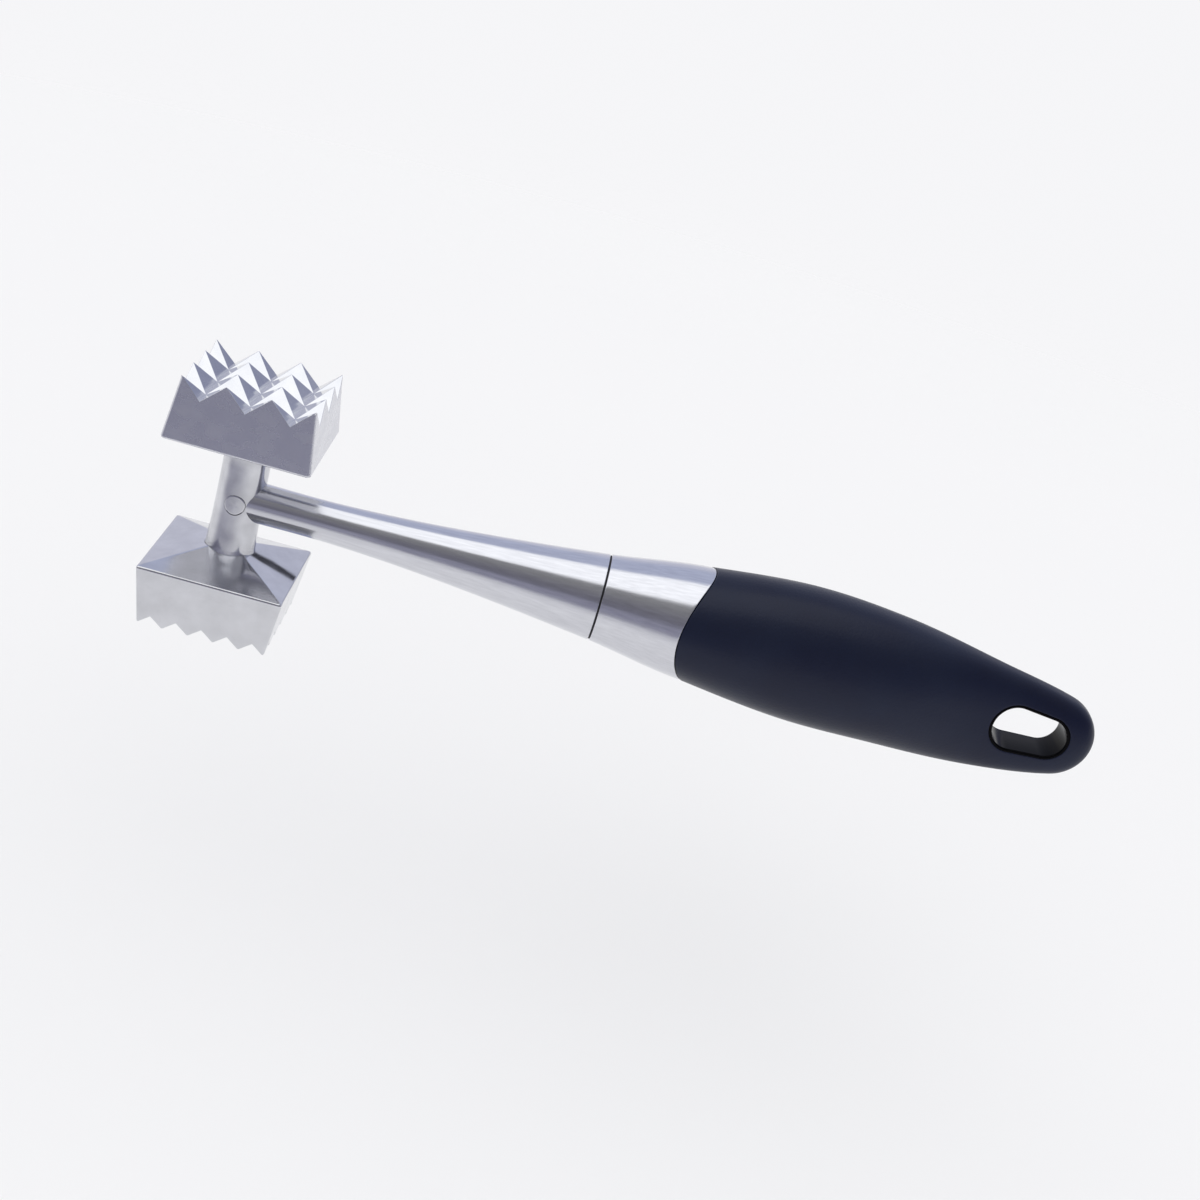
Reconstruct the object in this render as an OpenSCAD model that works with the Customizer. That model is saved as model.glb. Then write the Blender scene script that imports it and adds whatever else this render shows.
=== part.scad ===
// Two-faced meat mallet: a toothed cast head, a flared metal shaft and a soft grip with a hang slot.
// The origin is the middle of the whole mallet, on the shaft's axis. +X runs from the head to the
// butt, and +Z is the striking direction of the coarse face.

/* [Head] */
// Length of the whole mallet, from the head's front edge to the butt
overall_length = 235; // [225:1:245]
// Height of the head over the tooth tips of both faces
head_height = 63.6; // [60:0.2:68]
// Side of the square back of each block
block_width = 35.3; // [34:0.1:38]
// Distance between the back edges of the two blocks
back_gap = 33; // [31:0.5:35]
// Fall of the low pyramid on a block's back, from its edge to the head's axis
back_fall = 5.4; // [4:0.1:6]

/* [Teeth] */
// Number of coarse tooth tips along one side
coarse_teeth = 4; // [3:1:4]
// Distance between coarse tooth tips
coarse_pitch = 10.5; // [9:0.1:10.6]
// Depth of the coarse grooves
coarse_depth = 4.95; // [4:0.05:5.2]
// Number of fine tooth tips along one side
fine_teeth = 6; // [4:1:6]
// Distance between fine tooth tips
fine_pitch = 6.24; // [5.8:0.02:6.3]
// Depth of the fine grooves
fine_depth = 2.6; // [2:0.1:3]

/* [Post] */
// Diameter of the round post between the blocks
post_d = 11.4; // [11:0.1:13]
// Diameter of the cross pin through the post
pin_d = 5; // [4:0.1:5.2]

/* [Shaft] */
// Diameter of the straight front stretch of the shaft
shaft_d = 10; // [9.8:0.1:10.6]
// Distance from the head's axis to the seam behind the shaft
seam_reach = 89.7; // [86:0.1:93]
// Diameter of the shaft at the seam
seam_d = 21.6; // [21:0.1:23]
// Width of the dark ring in the seam
seam_gap = 0.4; // [0.3:0.1:1]
// Diameter of the steel rod that holds the handle together
rod_d = 8; // [7.6:0.1:8.2]

/* [Grip] */
// Distance from the head's axis to the grip's front edge, half way up its side
grip_reach = 110; // [107:0.5:112]
// Diameter of the grip at its front edge
grip_front_d = 28.4; // [27.6:0.2:29.4]
// Greatest height of the grip
grip_height = 34; // [32:0.5:36]
// Greatest width of the grip
grip_width = 29.2; // [28.6:0.2:31]

/* [Hang loop] */
// Thickness of the loop
loop_thickness = 11; // [10:0.5:12]
// Radius of the loop's round end
loop_end_r = 10.5; // [10:0.1:11]
// How far the loop's end lies below the shaft's axis
loop_droop = 2.9; // [2:0.1:3.5]
// Height of the hang slot at its back end
slot_back_height = 10; // [9:0.1:11]
// Height of the hang slot at its front end
slot_front_height = 11.4; // [10:0.1:12]
// Length of the hang slot
slot_length = 18.9; // [17:0.1:20]
// Thickness of the hard liner round the slot
liner_wall = 0.8; // [0.6:0.1:1.2]

/* [Hidden] */
$fn = 64;

// Head, measured from its own axis
head_x = block_width / 2 - overall_length / 2;
shoulder_z = 13.4;          // where the post's shoulder bears on each block
shoulder_r = 6.5;
shoulder_rise = 1;
tenon_r = 4;
tenon_z = 22;               // depth of the post's tenons in the blocks
rod_socket = 3.5;           // how far the rod goes past the head's axis

// Stack of pieces on the tie rod, as distances from the head's axis
collar_front = seam_reach + seam_gap;
collar_wall = 1.6;
nose_r = 8.6;
nose_front = seam_reach - 7.7;
core_step = grip_reach + 8; // the core is thickest here, under the grip's front edge
core_r = grip_front_d / 2 - collar_wall + 0.3;
core_end = 164;
core_end_r = 8.6;
tube_wall = 1;
rod_shoulder = 139;         // here the rod steps down to its threaded end
web_front = 141;
web_back = 148;             // the nut pulls on the core's web through the washer
rod_end = 156;
thread_r = 3;
washer_r = 6;
washer_t = 1.6;
nut_flats = 10;
nut_t = 5;
pocket_r = 6.2;             // bore behind the web, for the washer, the nut and the liner's plug
plug_front = 157;
plug_back = 166;
neck_r = 4;                 // the liner's neck, between its plug and the slot
fit_gap = 0.06;             // room at hidden faces that are flat-sided in this model
edge_gap = 0.15;            // the fine line round the grip's front edge

// The loop's round end, the slot, and the arc along which the grip's front edge is cut
end_cx = overall_length - block_width / 2 - loop_end_r;
tangent_angle = 16;         // the outlines meet the round end this far past its middle
slot_back_r = slot_back_height / 2;
slot_front_r = slot_front_height / 2;
slot_run = slot_length - slot_back_r - slot_front_r;
slot_tilt = 1.5;            // the slot's front end lies higher
slot_back_cx = end_cx - 2.25;
slot_back_z = 0.45 - loop_droop;
slot_front_cx = slot_back_cx - slot_run;
tangent_gap = 0.03;
liner_half = loop_thickness / 2 - 0.2;
front_arc_r = 22;

// Outline of the handle: distance from the head's axis, height above the shaft's axis,
// depth below it, half-width, and squareness of the section (2 is an ellipse)
function round_row(reach, d) = [reach, d / 2, d / 2, d / 2, 2];
tangent_reach = end_cx + loop_end_r * sin(tangent_angle);
tangent_rise = loop_end_r * cos(tangent_angle);
ROWS = [
    round_row(0, shaft_d),
    round_row(24, shaft_d),
    round_row(52, shaft_d + 3.5),
    round_row(seam_reach, seam_d),
    round_row(grip_reach + 3, grip_front_d),
    [140, grip_height / 2 - 0.3, grip_height / 2, grip_width / 2, 2.1],
    [164, grip_height / 2 - 1.6, grip_height / 2, grip_width / 2 - 2, 2.2],
    [190, grip_height / 2 - 6, grip_height / 2 - 0.8, loop_thickness / 2 + 0.9, 2.8],
    [tangent_reach, tangent_rise - loop_droop, tangent_rise + loop_droop, loop_thickness / 2, 3.4],
];
LAST = len(ROWS) - 1;

// Slope of column c at row k, and the smooth curve through the rows
function end_slope(c) = c == 1 || c == 2 ? -tan(tangent_angle) : 0;
function slope(k, c) =
    k == 0 ? 0
    : k == LAST ? end_slope(c)
    : (ROWS[k + 1][c] - ROWS[k - 1][c]) / (ROWS[k + 1][0] - ROWS[k - 1][0]);
function row_at(x, k = 0) = k >= LAST - 1 || x < ROWS[k + 1][0] ? k : row_at(x, k + 1);
function hermite(u, step, a, b, slope_a, slope_b) =
    (2 * u ^ 3 - 3 * u ^ 2 + 1) * a + (3 * u ^ 2 - 2 * u ^ 3) * b
    + (u ^ 3 - 2 * u ^ 2 + u) * step * slope_a + (u ^ 3 - u ^ 2) * step * slope_b;
function smooth(x, c, k) =
    let (step = ROWS[k + 1][0] - ROWS[k][0])
    hermite((x - ROWS[k][0]) / step, step, ROWS[k][c], ROWS[k + 1][c], slope(k, c), slope(k + 1, c));
function end_rise(x) = sqrt(max(0, loop_end_r ^ 2 - (x - end_cx) ^ 2));
function above(x) = x < tangent_reach ? smooth(x, 1, row_at(x)) : end_rise(x) - loop_droop;
function below(x) = x < tangent_reach ? smooth(x, 2, row_at(x)) : end_rise(x) + loop_droop;
function half_width(x) =
    let (u = max(0, x - tangent_reach) / (end_cx + loop_end_r - tangent_reach))
    smooth(min(x, tangent_reach), 3, row_at(x)) * (1 - 0.35 * u ^ 3);
function squareness(x) = smooth(min(x, tangent_reach), 4, row_at(x));
function shaft_r(x) = smooth(x, 3, row_at(x));

// A point of the handle's surface, and rings of such points
SIDES = 40;
ANGLES = [for (i = [0 : SIDES - 1]) 360 * i / SIDES];
function bulge(v, n) = sign(v) * abs(v) ^ (2 / n);
function surface_z(x, angle) =
    (above(x) - below(x)) / 2 + (above(x) + below(x)) / 2 * bulge(sin(angle), squareness(x));
function surface_y(x, angle) = half_width(x) * bulge(cos(angle), squareness(x));
function surface_point(x, angle) = [x, surface_y(x, angle), surface_z(x, angle)];
function round_point(x, r, angle) = [x, r * cos(angle), r * sin(angle)];

// The grip's front edge: where the surface meets an arc about a crosswise axis
function front_arc(z) = grip_reach + front_arc_r - sqrt(front_arc_r ^ 2 - z ^ 2);
function front_edge(angle, turns = 4) =
    turns == 0 ? grip_reach : front_arc(surface_z(front_edge(angle, turns - 1), angle));

// Radius of a ring of SIDES points whose flat sides clear a round piece
function clear_of(r) = (r + fit_gap) / cos(180 / SIDES);

module from_head_axis() {
    translate([head_x, 0, 0]) children();
}

// A cylinder along +X between two distances from the head's axis
module bar(from, to, r) {
    translate([from, 0, 0]) rotate([0, 90, 0]) cylinder(r = r, h = to - from);
}

// A closed skin over rings of SIDES points, with a point to close each end
module ringed_skin(rings, first_tip, last_tip) {
    count = len(rings);
    tips = count * SIDES;
    points = concat([for (ring = rings) each ring], [first_tip, last_tip]);
    walls = [for (r = [0 : count - 2]) for (i = [0 : SIDES - 1]) each
        let (a = r * SIDES + i, b = r * SIDES + (i + 1) % SIDES)
        [[a, b, b + SIDES], [a, b + SIDES, a + SIDES]]];
    caps = [for (i = [0 : SIDES - 1]) each
        let (j = (i + 1) % SIDES, base = (count - 1) * SIDES)
        [[tips, j, i], [tips + 1, base + i, base + j]]];
    polyhedron(points = points, faces = concat(walls, caps));
}

// A bar across the loop with the slot's outline, larger by grow all round: two circles, and straight
// sides just inside their common tangents
module slot_bar(grow, half) {
    tangent = acos((slot_front_r - slot_back_r) / slot_run);
    back = (slot_back_r + grow - tangent_gap) * [cos(tangent), sin(tangent)];
    front = (slot_front_r + grow - tangent_gap) * [cos(tangent), sin(tangent)];
    translate([slot_back_cx, 0, slot_back_z]) rotate([90, slot_tilt, 0]) {
        cylinder(r = slot_back_r + grow, h = 2 * half, center = true);
        translate([-slot_run, 0, 0]) cylinder(r = slot_front_r + grow, h = 2 * half, center = true);
        linear_extrude(height = 2 * half, center = true) polygon([
            back, [front[0] - slot_run, front[1]], [front[0] - slot_run, -front[1]], [back[0], -back[1]]]);
    }
}

// Side view of a block: low pyramid behind, drafted sides, tooth tips from edge to edge
module block_outline(teeth, pitch, depth) {
    tip_z = head_height / 2;
    right = pitch * (teeth - 1) / 2;
    crown = [for (i = [0 : 2 * (teeth - 1)]) [right - i * pitch / 2, tip_z - (i % 2) * depth]];
    polygon(concat(
        [[-block_width / 2, back_gap / 2], [0, back_gap / 2 - back_fall], [block_width / 2, back_gap / 2]],
        crown));
}

// The same outline across both ways: where the two cross, it makes the pyramids
module block_blank(teeth, pitch, depth) {
    intersection_for (turn = [0, 90]) {
        rotate([0, 0, turn]) rotate([90, 0, 0])
            linear_extrude(height = 2 * block_width, center = true) block_outline(teeth, pitch, depth);
    }
}

module post_blank() {
    rotate_extrude() polygon([
        [0, -tenon_z], [tenon_r, -tenon_z], [tenon_r, -shoulder_z], [shoulder_r, -shoulder_z],
        [post_d / 2, -shoulder_z + shoulder_rise], [post_d / 2, shoulder_z - shoulder_rise],
        [shoulder_r, shoulder_z], [tenon_r, shoulder_z], [tenon_r, tenon_z], [0, tenon_z]]);
}

module pin_bar() {
    rotate([90, 0, 0]) cylinder(d = pin_d, h = 2 * post_d, center = true);
}

module coarse_block() {
    color([0.52, 0.53, 0.59]) from_head_axis() difference() {
        block_blank(coarse_teeth, coarse_pitch, coarse_depth);
        post_blank();
    }
}

module fine_block() {
    color([0.76, 0.77, 0.80]) from_head_axis() difference() {
        mirror([0, 0, 1]) block_blank(fine_teeth, fine_pitch, fine_depth);
        post_blank();
    }
}

// The post has a tenon at each end, a blind socket for the rod and a cross hole for the pin
module head_post() {
    color([0.66, 0.67, 0.72]) from_head_axis() difference() {
        post_blank();
        bar(-rod_socket, post_d, rod_d / 2);
        pin_bar();
    }
}

// The pin's ends are ground flush with the round post
module head_pin() {
    color([0.60, 0.60, 0.64]) from_head_axis() intersection() {
        pin_bar();
        cylinder(d = post_d, h = 2 * pin_d, center = true);
    }
}

module tie_rod() {
    color([0.55, 0.56, 0.58]) from_head_axis() difference() {
        union() {
            bar(-rod_socket, rod_shoulder, rod_d / 2);
            bar(rod_shoulder - 1, rod_end, thread_r);
        }
        pin_bar();
    }
}

// The flared tube fits the round post in front, and the core's nose behind
module shaft_tube() {
    steps = 22;
    wall_x = [for (i = [0 : steps]) seam_reach * i / steps];
    outer = [for (x = wall_x) [shaft_r(x), x]];
    inner = [for (x = wall_x) if (x < nose_front) [max(rod_d / 2, shaft_r(x) - tube_wall), x]];
    color([0.70, 0.71, 0.74]) from_head_axis() difference() {
        rotate([0, 90, 0]) rotate_extrude() polygon(concat([[0, 0]], outer, [[0, seam_reach]]));
        rotate([0, 90, 0]) rotate_extrude() polygon(concat(
            [[0, -1]], [[rod_d / 2, -1]], inner,
            [[nose_r - tube_wall, nose_front], [0, nose_front]]));
        bar(nose_front - 0.1, seam_reach + 1, nose_r);
        cylinder(d = post_d, h = 2 * post_d, center = true);
    }
}

module seal_ring() {
    color([0.05, 0.05, 0.06]) from_head_axis() difference() {
        bar(seam_reach, collar_front, seam_d / 2 - 0.25);
        bar(seam_reach - 1, collar_front + 1, nose_r);
    }
}

// The collar's back edge is cut along an arc, which the grip fills
module collar() {
    back = grip_reach + front_arc_r;
    steps = 10;
    outer = [for (i = [0 : steps])
        let (x = collar_front + (core_step - collar_front) * i / steps) [shaft_r(x), x]];
    color([0.70, 0.71, 0.74]) from_head_axis() difference() {
        rotate([0, 90, 0]) rotate_extrude() polygon(concat(
            outer, [[core_r, core_step], [seam_d / 2 - collar_wall, collar_front]]));
        translate([back, 0, 0]) rotate([90, 0, 0])
            cylinder(r = front_arc_r, h = 2 * grip_width, center = true, $fn = 128);
    }
}

module handle_core() {
    color([0.10, 0.10, 0.11]) from_head_axis() difference() {
        rotate([0, 90, 0]) rotate_extrude() polygon([
            [0, nose_front], [nose_r, nose_front], [nose_r, collar_front],
            [seam_d / 2 - collar_wall, collar_front], [core_r, core_step],
            [core_end_r, core_end], [0, core_end]]);
        bar(nose_front - 1, web_front, rod_d / 2);
        bar(web_front - 1, web_back + 1, thread_r);
        bar(web_back, core_end + 1, pocket_r);
    }
}

module rod_washer() {
    color([0.62, 0.63, 0.66]) from_head_axis() difference() {
        bar(web_back, web_back + washer_t, washer_r);
        bar(web_back - 1, web_back + washer_t + 1, thread_r);
    }
}

module rod_nut() {
    seat = web_back + washer_t;
    color([0.62, 0.63, 0.66]) from_head_axis() difference() {
        translate([seat, 0, 0]) rotate([0, 90, 0])
            cylinder(d = nut_flats / cos(30), h = nut_t, $fn = 6);
        bar(seat - 1, seat + nut_t + 1, thread_r);
    }
}

// The liner's plug closes the core's bore, and its eye is the wall of the hang slot
module slot_liner() {
    color([0.03, 0.03, 0.04]) from_head_axis() difference() {
        union() {
            bar(plug_front, plug_back, pocket_r);
            bar(plug_back - 1, slot_front_cx, neck_r);
            slot_bar(liner_wall, liner_half);
        }
        slot_bar(0, loop_thickness);
    }
}

// The soft grip covers the core and the liner, from the collar to the butt
module grip_sleeve() {
    front_spans = 30;
    arc_steps = 7;
    hollow = [for (row = [
        [slot_front_cx, neck_r], [plug_back + fit_gap, neck_r], [plug_back + fit_gap, pocket_r],
        [core_end + fit_gap, pocket_r], [core_end + fit_gap, core_end_r], [core_step + 1, core_r]])
        [for (angle = ANGLES) round_point(row[0], clear_of(row[1]), angle)]];
    mouth = [for (angle = ANGLES)
        round_point(front_arc(core_r * sin(angle)) + edge_gap, clear_of(core_r), angle)];
    body = [for (j = [0 : front_spans]) [for (angle = ANGLES)
        let (from = front_edge(angle) + edge_gap)
        surface_point(from + (tangent_reach - from) * j / front_spans, angle)]];
    butt = [for (j = [1 : arc_steps])
        let (turn = tangent_angle + (84 - tangent_angle) * j / arc_steps)
        [for (angle = ANGLES) surface_point(end_cx + loop_end_r * sin(turn), angle)]];
    color([0.06, 0.07, 0.10]) from_head_axis() difference() {
        ringed_skin(concat(hollow, [mouth], body, butt), [slot_front_cx, 0, 0],
            [end_cx + loop_end_r, 0, -loop_droop]);
        slot_bar(liner_wall, loop_thickness);
    }
}

coarse_block();
fine_block();
head_post();
head_pin();
tie_rod();
shaft_tube();
seal_ring();
collar();
handle_core();
rod_washer();
rod_nut();
slot_liner();
grip_sleeve();
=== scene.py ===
"""The looks of the meat mallet: cast head, satin shaft and collar, soft grip and lined hang slot.

Outlines are worked out in millimetres as distances from the head's axis along the handle (reach),
and every mesh is moved into the frame, in metres, when it is made.
"""
import math

import bmesh
import bpy
import numpy as np
from mathutils import Matrix, Vector, noise


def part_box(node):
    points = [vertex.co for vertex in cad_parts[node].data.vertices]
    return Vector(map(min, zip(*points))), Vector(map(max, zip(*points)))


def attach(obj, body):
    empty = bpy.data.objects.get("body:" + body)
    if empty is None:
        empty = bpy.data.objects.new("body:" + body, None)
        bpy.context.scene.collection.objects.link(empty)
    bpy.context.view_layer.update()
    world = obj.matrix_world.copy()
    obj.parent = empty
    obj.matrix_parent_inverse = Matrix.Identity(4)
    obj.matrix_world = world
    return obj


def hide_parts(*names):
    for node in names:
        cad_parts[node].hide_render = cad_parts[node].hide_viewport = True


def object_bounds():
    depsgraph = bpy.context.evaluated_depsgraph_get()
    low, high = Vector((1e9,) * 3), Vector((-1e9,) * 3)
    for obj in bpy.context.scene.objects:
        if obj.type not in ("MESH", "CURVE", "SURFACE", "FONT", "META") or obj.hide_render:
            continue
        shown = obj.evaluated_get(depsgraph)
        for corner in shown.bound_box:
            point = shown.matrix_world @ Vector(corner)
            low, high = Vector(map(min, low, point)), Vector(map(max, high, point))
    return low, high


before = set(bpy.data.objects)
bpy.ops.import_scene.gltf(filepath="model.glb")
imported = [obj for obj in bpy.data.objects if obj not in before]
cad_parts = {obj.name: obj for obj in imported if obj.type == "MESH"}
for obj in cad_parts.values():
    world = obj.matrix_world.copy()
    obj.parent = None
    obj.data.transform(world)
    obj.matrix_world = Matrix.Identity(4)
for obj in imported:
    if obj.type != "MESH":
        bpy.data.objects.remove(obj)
cad_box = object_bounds()

MM = 0.001
BODY = "root"


# ---------------------------------------------------------------- sizes from the frame, in millimetres

post_low, post_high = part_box("head_post")
HEAD_X = (post_low.x + post_high.x) / 2
block_low, block_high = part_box("coarse_block")
pin_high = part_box("head_pin")[1]
tube_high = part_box("shaft_tube")[1]
collar_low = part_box("collar")[0]
rod_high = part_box("tie_rod")[1]
grip_low, grip_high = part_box("grip_sleeve")

BLOCK_HALF = (block_high.x - block_low.x) / 2 / MM
TIP_Z = block_high.z / MM
PIN_R = pin_high.z / MM
POST_R = pin_high.y / MM
ROD_R = rod_high.z / MM
SEAM_REACH = (tube_high.x - HEAD_X) / MM
SEAM_R = tube_high.z / MM
COLLAR_FRONT = (collar_low.x - HEAD_X) / MM
EDGE_GAP = 0.15
GRIP_REACH = (grip_low.x - HEAD_X) / MM - EDGE_GAP
BUTT_REACH = (grip_high.x - HEAD_X) / MM
GRIP_DEPTH = -grip_low.z / MM

# The head: the widest rounded edge, the low pyramid behind the teeth, and the post in its seat
EDGE_R = 1.0
BACK_EDGE_Z = 16.5
BACK_FALL = 5.4
SEAT_Z = 13.4
SEAT_R = 6.15
POST_END_R = SEAT_R - 0.03
POST_MIDDLE_R = POST_R - 0.05

# The shaft and the collar, up to the arc where the grip starts
SHAFT_R = 5.0
BORE_R = ROD_R + 0.05
FLARE_REACH = 52.0
GRIP_FRONT_R = 14.2
FRONT_ARC_R = 22.0
NOSE_R = 8.6
COLLAR_WALL = 1.6

# The loop and its slot
LOOP_HALF = 5.5
LOOP_END_R = 10.5
LOOP_DROOP = 2.9
SLOT_BACK_R = 5.0
SLOT_FRONT_R = 5.7
SLOT_RUN = 8.2
SLOT_TILT = math.radians(1.5)
LINER_WALL = 0.8
TANGENT = math.radians(16)
END_CX = BUTT_REACH - LOOP_END_R
TANGENT_REACH = END_CX + LOOP_END_R * math.sin(TANGENT)
TANGENT_RISE = LOOP_END_R * math.cos(TANGENT)

# Reach, height above the axis, depth below it, half-width, squareness of the section
ROWS = np.array([
    (0.0, SHAFT_R, SHAFT_R, SHAFT_R, 2.0),
    (24.0, SHAFT_R, SHAFT_R, SHAFT_R, 2.0),
    (FLARE_REACH, SHAFT_R + 1.75, SHAFT_R + 1.75, SHAFT_R + 1.75, 2.0),
    (SEAM_REACH, SEAM_R, SEAM_R, SEAM_R, 2.0),
    (GRIP_REACH + 3, GRIP_FRONT_R, GRIP_FRONT_R, GRIP_FRONT_R, 2.0),
    (140.0, GRIP_DEPTH - 0.3, GRIP_DEPTH, 14.6, 2.1),
    (164.0, GRIP_DEPTH - 1.6, GRIP_DEPTH, 12.6, 2.2),
    (190.0, GRIP_DEPTH - 6.0, GRIP_DEPTH - 0.8, LOOP_HALF + 0.9, 2.8),
    (TANGENT_REACH, TANGENT_RISE - LOOP_DROOP, TANGENT_RISE + LOOP_DROOP, LOOP_HALF, 3.0),
])
ABOVE, BELOW, HALF_WIDTH, SQUARENESS = 1, 2, 3, 4


def row_slopes(column):
    """Slope of one column of ROWS at each row: level in front, and along the tangent at the loop."""
    reach, value = ROWS[:, 0], ROWS[:, column]
    slopes = np.zeros(len(ROWS))
    slopes[1:-1] = (value[2:] - value[:-2]) / (reach[2:] - reach[:-2])
    if column in (ABOVE, BELOW):
        slopes[-1] = -math.tan(TANGENT)
    return slopes


SLOPES = {column: row_slopes(column) for column in (ABOVE, BELOW, HALF_WIDTH, SQUARENESS)}


def smooth(x, column):
    """The smooth curve through one column of ROWS."""
    k = np.clip(np.searchsorted(ROWS[:, 0], x, side="right") - 1, 0, len(ROWS) - 2)
    step = ROWS[k + 1, 0] - ROWS[k, 0]
    u = (x - ROWS[k, 0]) / step
    a, b = ROWS[k, column], ROWS[k + 1, column]
    slopes = SLOPES[column]
    return ((2 * u**3 - 3 * u**2 + 1) * a + (3 * u**2 - 2 * u**3) * b
            + (u**3 - 2 * u**2 + u) * step * slopes[k] + (u**3 - u**2) * step * slopes[k + 1])


def end_rise(x):
    """Height of the loop's round end over its middle."""
    return np.sqrt(np.maximum(0.0, LOOP_END_R**2 - (x - END_CX) ** 2))


def above(x):
    """Height of the handle's top above the axis."""
    return np.where(x < TANGENT_REACH, smooth(x, ABOVE), end_rise(x) - LOOP_DROOP)


def below(x):
    """Depth of the handle's bottom below the axis."""
    return np.where(x < TANGENT_REACH, smooth(x, BELOW), end_rise(x) + LOOP_DROOP)


def half_width(x):
    return smooth(np.minimum(x, TANGENT_REACH), HALF_WIDTH)


def squareness(x):
    return smooth(np.minimum(x, TANGENT_REACH), SQUARENESS)


def shaft_radius(x):
    return smooth(x, HALF_WIDTH)


# ---------------------------------------------------------------- mesh helpers

def make_piece(name, points, faces, smooth_faces=True):
    """A mesh object from points in millimetres, with X as reach from the head's axis."""
    mesh = bpy.data.meshes.new(name)
    place = Vector((HEAD_X, 0, 0))
    mesh.from_pydata([Vector(p) * MM + place for p in points], [], faces)
    mesh.validate()
    bm = bmesh.new()
    bm.from_mesh(mesh)
    bmesh.ops.remove_doubles(bm, verts=bm.verts, dist=0.002 * MM)
    bmesh.ops.recalc_face_normals(bm, faces=bm.faces)
    bm.to_mesh(mesh)
    bm.free()
    mesh.polygons.foreach_set("use_smooth", [smooth_faces] * len(mesh.polygons))
    piece = bpy.data.objects.new(name, mesh)
    bpy.context.scene.collection.objects.link(piece)
    return piece


def freeze(piece):
    """Applies the piece's modifiers to its mesh."""
    bpy.context.view_layer.update()
    evaluated = piece.evaluated_get(bpy.context.evaluated_depsgraph_get())
    mesh = bpy.data.meshes.new_from_object(evaluated)
    piece.modifiers.clear()
    piece.data = mesh


def ring_faces(count, sides, closed=False):
    """Quads between rings of points that follow each other, and back to the first if closed."""
    faces = []
    for r in range(count if closed else count - 1):
        a0, b0 = r * sides, ((r + 1) % count) * sides
        for i in range(sides):
            j = (i + 1) % sides
            faces.append((a0 + i, a0 + j, b0 + j, b0 + i))
    return faces


def rounded_profile(corners, radii, steps=5):
    """A polyline with each corner rounded by its radius, as points in a plane."""
    points = []
    count = len(corners)
    for k, (corner, radius) in enumerate(zip(corners, radii)):
        here = np.array(corner, float)
        if radius <= 0:
            points.append(here)
            continue
        to_last = np.array(corners[k - 1], float) - here
        to_next = np.array(corners[(k + 1) % count], float) - here
        to_last /= np.linalg.norm(to_last)
        to_next /= np.linalg.norm(to_next)
        half = math.acos(np.clip(to_last @ to_next, -1, 1)) / 2
        cut = radius / math.tan(half)
        start, end = here + to_last * cut, here + to_next * cut
        centre = here + (to_last + to_next) / np.linalg.norm(to_last + to_next) * radius / math.sin(half)
        for t in np.linspace(0, 1, steps):
            spoke = (1 - t) * (start - centre) + t * (end - centre)
            points.append(centre + spoke / np.linalg.norm(spoke) * radius)
    return points


def turned_piece(name, profile, sides=160, closed=True):
    """A closed solid of revolution about X from (reach, radius) points."""
    turns = np.arange(sides) * 2 * math.pi / sides
    points = [(x, r * math.cos(a), r * math.sin(a)) for x, r in profile for a in turns]
    return make_piece(name, points, ring_faces(len(profile), sides, closed))


# ---------------------------------------------------------------- materials

def new_material(name, colour, metallic, roughness, **sockets):
    """A Principled material, returned with its nodes, links and shader."""
    material = bpy.data.materials.new(name)
    material.use_nodes = True
    nodes, links = material.node_tree.nodes, material.node_tree.links
    shader = nodes["Principled BSDF"]
    shader.inputs["Base Color"].default_value = (*colour, 1)
    shader.inputs["Metallic"].default_value = metallic
    shader.inputs["Roughness"].default_value = roughness
    for socket, value in sockets.items():
        shader.inputs[socket.replace("_", " ")].default_value = value
    material.diffuse_color = (*colour, 1)
    return material, nodes, links, shader


def stretched_noise(nodes, links, per_metre, stretch=(1, 1, 1), detail=3.0, rough=0.55):
    """Noise in the object's own space, with so many blobs to a metre and a stretch along each axis."""
    coords = nodes.new("ShaderNodeTexCoord")
    mapping = nodes.new("ShaderNodeMapping")
    mapping.inputs["Scale"].default_value = stretch
    texture = nodes.new("ShaderNodeTexNoise")
    texture.inputs["Scale"].default_value = per_metre
    texture.inputs["Detail"].default_value = detail
    texture.inputs["Roughness"].default_value = rough
    links.new(coords.outputs["Object"], mapping.inputs["Vector"])
    links.new(mapping.outputs["Vector"], texture.inputs["Vector"])
    return texture.outputs["Fac"]


def spread(nodes, links, value, low, high, start=0.3, end=0.7):
    """Maps a noise value onto a range."""
    ranged = nodes.new("ShaderNodeMapRange")
    ranged.inputs["From Min"].default_value = start
    ranged.inputs["From Max"].default_value = end
    ranged.inputs["To Min"].default_value = low
    ranged.inputs["To Max"].default_value = high
    links.new(value, ranged.inputs["Value"])
    return ranged.outputs["Result"]


def tint(nodes, links, value, dark, light):
    """A colour between two, by a noise value."""
    ramp = nodes.new("ShaderNodeValToRGB")
    ramp.color_ramp.elements[0].position = 0.3
    ramp.color_ramp.elements[0].color = (*dark, 1)
    ramp.color_ramp.elements[1].position = 0.7
    ramp.color_ramp.elements[1].color = (*light, 1)
    links.new(value, ramp.inputs["Fac"])
    return ramp.outputs["Color"]


def bump(nodes, links, shader, value, height, strength=1.0, below_bump=None):
    """Adds relief of the given height in metres, on top of any relief below it."""
    node = nodes.new("ShaderNodeBump")
    node.inputs["Distance"].default_value = height
    node.inputs["Strength"].default_value = strength
    links.new(value, node.inputs["Height"])
    if below_bump is not None:
        links.new(below_bump.outputs["Normal"], node.inputs["Normal"])
    links.new(node.outputs["Normal"], shader.inputs["Normal"])
    return node


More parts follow.
